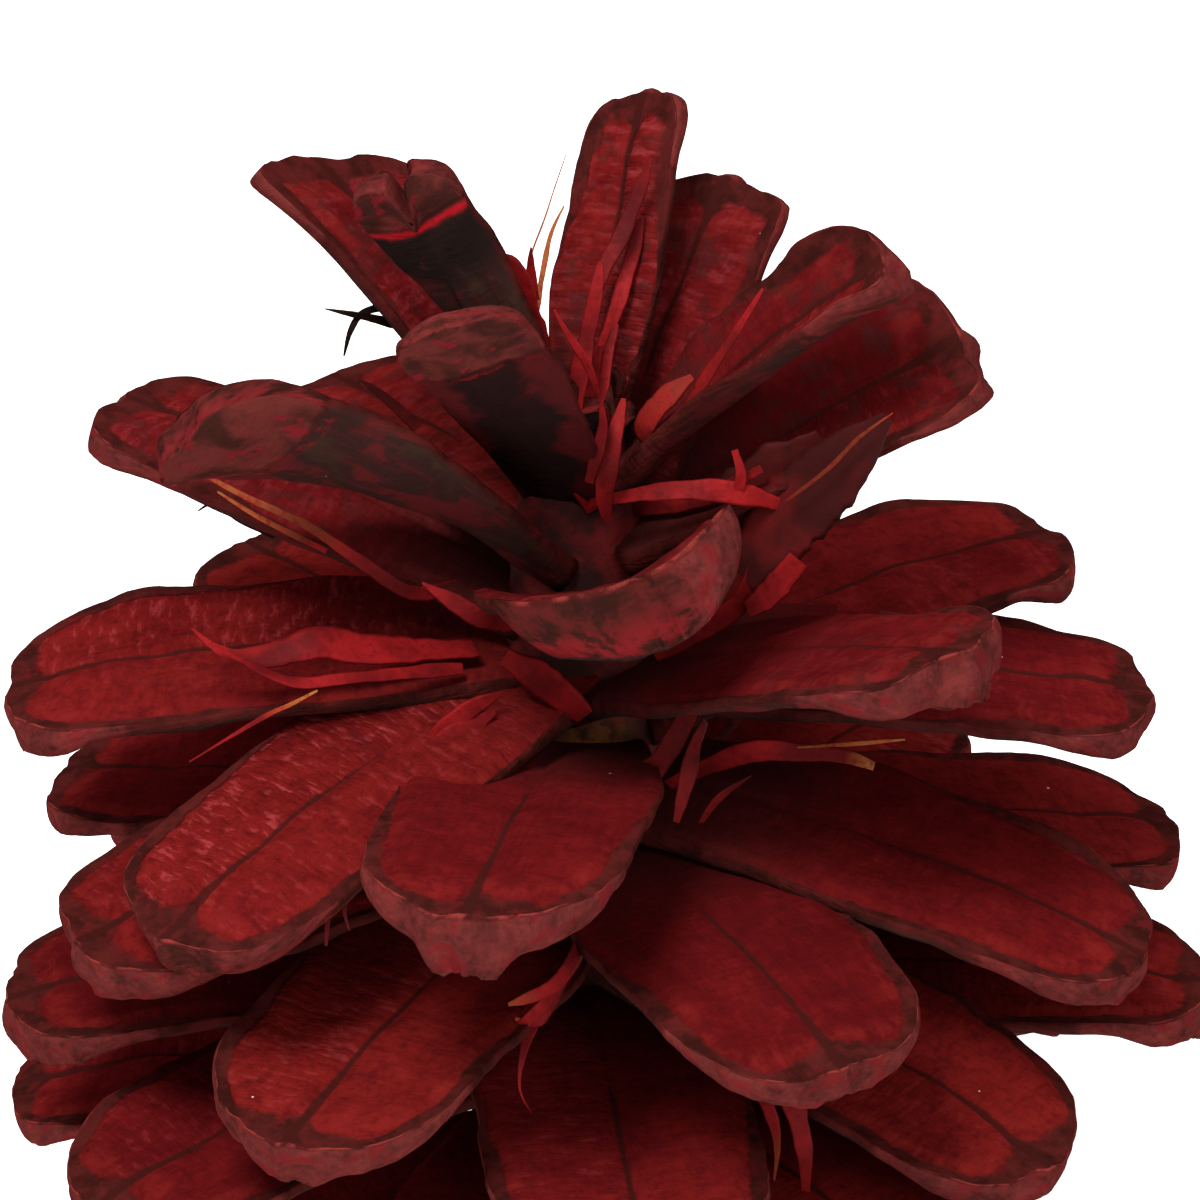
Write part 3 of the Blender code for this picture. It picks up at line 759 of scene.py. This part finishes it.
# Below the raised scale at the upper right, a flap of wing darkened as painted shade, standing for that
# scale's shaded outer face, with a bright torn end.
strip((13.4, -4.6, 52.4), (11.6, -4.6, 50.3), (9.8, -4.4, 48.2), (8.2, -4.2, 46.0), (7.2, -4.0, 44.2),
      widths=(0.3, 1.3, 1.7, 1.4, 0.8), twist=(0, 20), dark=0.8)
strip((5.4, -1.8, 44.6), (6.8, -2.6, 46.8), (8.6, -2.8, 48.8), (10.6, -2.6, 50.4),
      widths=(1.0, 1.5, 1.2, 0.4), twist=(-10, 10), dark=0.85)
strip((8.0, -2.6, 57.6), (6.9, -2.6, 55.6), (5.4, -2.4, 52.9), (4.2, -2.0, 50.2),
      widths=(0.06, 0.2, 0.28, 0.3), twist=(20, 40), dark=0.2)
strip((9.6, -5.3, 45.8), (8.4, -5.0, 44.0), (7.4, -4.8, 43.1), widths=(0.5, 0.6, 0.4), twist=(0, 20))
# Between the crown scales.
strip((13.6, -5.2, 52.9), (12.2, -5.3, 51.8), (10.8, -5.3, 50.2), (9.0, -5.2, 48.6),
      widths=(0.03, 0.08, 0.1, 0.06), straw=(0.2, 0.1))
strip((5.0, -1.5, 52.8), (3.9, -1.8, 52.0), (2.9, -2.0, 50.6), (3.4, -2.0, 49.4),
      widths=(0.15, 0.5, 0.55, 0.2), twist=(10, 50), straw=(0.12, 0), dark=0.15)
strip((2.8, 4.0, 57.8), (2.3, 3.0, 56.1), (1.5, 1.5, 54.0), (0.5, 0.0, 51.1),
      widths=(0.12, 0.35, 0.3, 0.4), twist=(0, 30))
strip((3.2, 4.5, 60.5), (2.7, 4.0, 59.1), (1.9, 3.0, 57.4), (1.0, 2.0, 55.9), (0.5, 1.0, 53.8),
      widths=(0.08, 0.3, 0.35, 0.3, 0.2), twist=(0, 20), dark=0.3)
strip((-2.3, -1.0, 54.6), (-1.4, -1.5, 53.6), (-0.8, -2.0, 52.8), (-0.5, -2.5, 50.6),
      widths=(0.08, 0.2, 0.25, 0.4), twist=(0, 30))
strip((0.9, -2.6, 46.9), (0.0, -2.5, 49.4), (0.3, -1.5, 50.8), (1.0, -0.5, 53.8),
      widths=(0.6, 0.8, 0.6, 0.15), twist=(0, 40))
strip((-1.2, -0.6, 51.5), (-1.9, -0.5, 54.5), (-2.4, -0.5, 55.9), (-3.0, -0.5, 57.4),
      widths=(0.6, 0.6, 0.5, 0.05), twist=(0, 20))
strip((2.4, -1.0, 46.0), (5.4, -3.0, 47.6), (8.0, -4.0, 49.6), widths=(0.3, 0.4, 0.2), twist=(20, 0),
      dark=0.2)
strip((1.0, 0.5, 57.4), (0.8, -0.2, 56.2), (0.4, -1.0, 54.4), (0.0, -1.8, 52.6), (-0.1, -2.2, 50.7),
      (0.1, -2.4, 48.5), widths=(0.1, 0.3, 0.4, 0.45, 0.4, 0.3), twist=(0, 40))
strip((-1.0, -4.6, 57.6), (-0.4, -4.6, 56.4), (0.4, -4.4, 54.9), (0.9, -4.0, 53.2),
      widths=(0.05, 0.14, 0.18, 0.14), twist=(0, 30))
strip((2.0, -2.6, 52.3), (1.6, -3.6, 51.0), (1.3, -4.2, 49.7), (1.2, -4.4, 48.4), (1.3, -4.2, 47.1),
      widths=(0.1, 0.4, 0.55, 0.4, 0.2), twist=(20, -20), dark=0.15)
strip((1.0, -3.6, 52.8), (1.1, -4.0, 51.6), (0.8, -4.4, 50.4), (0.5, -4.4, 49.1),
      widths=(0.08, 0.22, 0.3, 0.2), twist=(40, 0))
strip((1.7, 0.4, 54.4), (1.3, -0.4, 53.2), (1.0, -1.2, 51.8), (0.6, -1.8, 50.5),
      widths=(0.1, 0.3, 0.3, 0.12), twist=(0, 60), dark=0.3)
# At the torn root of the long left scale and beside the short one.
strip((-9.0, -14.2, 36.6), (-10.0, -15.6, 36.1), (-10.6, -16.4, 35.0), (-10.8, -17.0, 33.2),
      widths=(0.4, 0.4, 0.24, 0.1), twist=(0, 50), dark=0.35)
strip((-8.7, -14.0, 36.3), (-9.6, -15.4, 35.7), (-10.0, -16.2, 34.6), (-9.8, -16.4, 33.6),
      widths=(0.35, 0.25, 0.15, 0.05), twist=(30, 60), dark=0.2)
strip((-7.4, -7.9, 37.0), (-5.9, -7.8, 38.0), (-4.8, -7.4, 38.6), (-3.6, -6.8, 39.1),
      widths=(0.3, 0.55, 0.6, 0.12), twist=(0, 10))
strip((-6.6, -7.6, 38.0), (-5.5, -7.4, 38.9), (-4.4, -7.0, 39.5), (-3.3, -6.6, 39.9),
      widths=(0.2, 0.4, 0.4, 0.06), twist=(10, 30))
strip((-5.0, -7.6, 37.6), (-4.0, -7.4, 37.9), (-3.0, -7.0, 38.4), (-2.4, -6.6, 38.5),
      widths=(0.2, 0.3, 0.25, 0.04), twist=(0, 30))
# These two strips are darkened, partly as painted shade.
strip((5.4, -8.0, 34.2), (6.2, -8.6, 35.8), (7.6, -8.4, 36.8), widths=(0.12, 0.24, 0.06),
      twist=(30, 60), dark=0.6)
strip((4.3, -9.0, 34.8), (4.7, -8.8, 36.5), (5.1, -7.8, 37.9), (5.6, -6.5, 38.5),
      widths=(0.15, 0.35, 0.3, 0.2), twist=(0, 40), dark=0.55)
strip((3.4, -2.6, 39.6), (6.9, -4.0, 42.8), (7.6, -4.0, 44.8), widths=(0.4, 0.5, 0.2), twist=(0, 30))
# Straw yellow fibres and hairs.
strip((-2.0, 0.2, 54.0), (-1.6, 2.0, 55.6), (-1.2, 4.0, 56.9), (-0.6, 5.0, 57.9),
      widths=(0.2, 0.14, 0.1, 0.04), straw=(0.3, 1))
strip((-3.9, -1.6, 57.9), (-3.4, -1.5, 58.4), (-2.8, -1.4, 58.0), (-2.2, -1.0, 56.6),
      (-1.8, -0.6, 54.4), widths=(0.1, 0.25, 0.45, 0.5, 0.4), twist=(0, 40))
strip((-2.0, -1.2, 58.9), (-2.0, -1.1, 57.9), (-1.9, -0.8, 56.2), widths=(0.04, 0.2, 0.3),
      twist=(0, 20))
strip((-1.9, 2.4, 54.6), (-2.2, 3.0, 55.8), (-1.4, 4.0, 57.9), (-1.0, 4.8, 58.9), (-0.5, 5.0, 60.4),
      widths=(0.07, 0.05, 0.04, 0.03, 0.02), straw=(0.5, 1))
strip((-17.5, 0.4, 47.8), (-14.8, -1.0, 46.8), (-11.9, -2.0, 45.8), (-9.5, -2.6, 44.3),
      (-7.4, -2.6, 42.8), (-5.4, -1.4, 42.4), widths=(0.04, 0.14, 0.2, 0.3, 0.35, 0.35), twist=(0, 30),
      straw=(0.9, -0.7), dark=0.2)
strip((-15.8, -0.4, 46.6), (-13.9, -1.0, 45.6), (-11.0, -2.0, 44.5), widths=(0.04, 0.12, 0.14),
      straw=(0.8, 0.0))
strip((-17.0, -7.0, 36.7), (-13.8, -8.0, 39.4), (-12.5, -8.0, 40.1), (-11.3, -8.0, 40.8),
      widths=(0.03, 0.1, 0.1, 0.06), straw=(-0.6, 1.2))
strip((9.6, -6.6, 37.2), (12.2, -7.5, 37.9), (14.3, -7.5, 38.1), widths=(0.04, 0.09, 0.04),
      straw=(0.6, 0.9))
# Dark dry spines.
strip((-7.8, 1.2, 54.0), (-9.0, 1.0, 54.4), (-10.1, 0.5, 54.9), (-11.0, 0.5, 55.1),
      widths=(0.24, 0.18, 0.12, 0.03), dark=1.0)
strip((-8.4, 1.2, 54.9), (-9.4, 1.0, 54.6), (-9.9, 0.5, 54.0), (-10.2, 0.5, 52.8),
      widths=(0.2, 0.18, 0.14, 0.04), dark=1.0)
strip((-13.4, 2.0, 43.2), (-15.0, 2.0, 44.0), (-16.0, 2.0, 44.8), (-16.8, 2.0, 44.4),
      widths=(0.2, 0.14, 0.1, 0.03), dark=0.9)
strip((-7.0, 1.0, 49.0), (-8.0, 1.0, 50.1), (-9.0, 1.0, 51.0), (-9.6, 1.0, 51.4),
      widths=(0.3, 0.22, 0.14, 0.04), dark=0.7)


def strip_mesh(name):
    """All strips as paths of one mesh, with their values on the points."""
    points = []
    edges = []
    values = {"half": [], "twist": [], "straw": [], "dark": []}
    for path, widths, twist, straw, dark in strips:
        for i, point in enumerate(path):
            if i:
                edges.append((len(points) - 1, len(points)))
            points.append(tuple(c * MM for c in point))
            share = i / (len(path) - 1)
            values["half"].append(widths[i])
            values["twist"].append(twist[0] + (twist[1] - twist[0]) * share)
            values["straw"].append(straw[0] + (straw[1] - straw[0]) * share)
            values["dark"].append(dark)
    mesh = bpy.data.meshes.new(name)
    mesh.from_pydata(points, edges, [])
    for label, numbers in values.items():
        layer = mesh.attributes.new(label, "FLOAT", "POINT")
        layer.data.foreach_set("value", [float(n) for n in numbers])
    return mesh


wing_paint = paint("papery_wing", 0.03, papery_wing)
scraps = grown_from(strip_tree(), "wing_scraps", strip_mesh("wing_scraps"), {"Material": wing_paint})
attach(scraps, "root")
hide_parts("pine_cone")

# Floor, light and exposure
# Plain white sweep under soft studio lamps, as in a catalogue picture.
floor_mesh = bpy.data.meshes.new("floor")
floor_mesh.from_pydata([(-3, -3, 0), (3, -3, 0), (3, 6, 0), (-3, 6, 0)], [], [(0, 1, 2, 3)])
floor = bpy.data.objects.new("floor", floor_mesh)
bpy.context.scene.collection.objects.link(floor)
floor_paint = bpy.data.materials.new("white_sweep")
floor_paint.use_nodes = True
floor_shader = floor_paint.node_tree.nodes["Principled BSDF"]
floor_shader.inputs["Base Color"].default_value = (0.93, 0.93, 0.93, 1.0)
floor_shader.inputs["Roughness"].default_value = 0.9
floor_shader.inputs["Emission Color"].default_value = (1.0, 1.0, 1.0, 1.0)
floor_shader.inputs["Emission Strength"].default_value = 0.45
floor_mesh.materials.append(floor_paint)


def lamp(name, azimuth, elevation, distance, size, power):
    """A square soft box aimed at the middle of the cone."""
    data = bpy.data.lights.new(name, "AREA")
    data.shape = "SQUARE"
    data.size = size
    data.energy = power
    a = math.radians(azimuth)
    e = math.radians(elevation)
    back = Vector((math.sin(a) * math.cos(e), -math.cos(a) * math.cos(e), math.sin(e)))
    body = bpy.data.objects.new(name, data)
    body.location = Vector((0.0, 0.0, 0.035)) + back * distance
    body.rotation_mode = "QUATERNION"
    body.rotation_quaternion = (-back).to_track_quat("-Z", "Y")
    bpy.context.scene.collection.objects.link(body)


lamp("key_lamp", -32, 60, 0.55, 0.18, 3.4)
lamp("fill_lamp", 25, 35, 0.60, 0.30, 1.0)
lamp("top_lamp", 180, 84, 0.70, 0.40, 1.2)
world = bpy.data.worlds.new("studio")
bpy.context.scene.world = world
world.use_nodes = True
world.node_tree.nodes["Background"].inputs[0].default_value = (1.0, 1.0, 1.0, 1.0)
world.node_tree.nodes["Background"].inputs[1].default_value = 0.60
bpy.context.scene.view_settings.view_transform = "Standard"
bpy.context.scene.view_settings.look = "None"
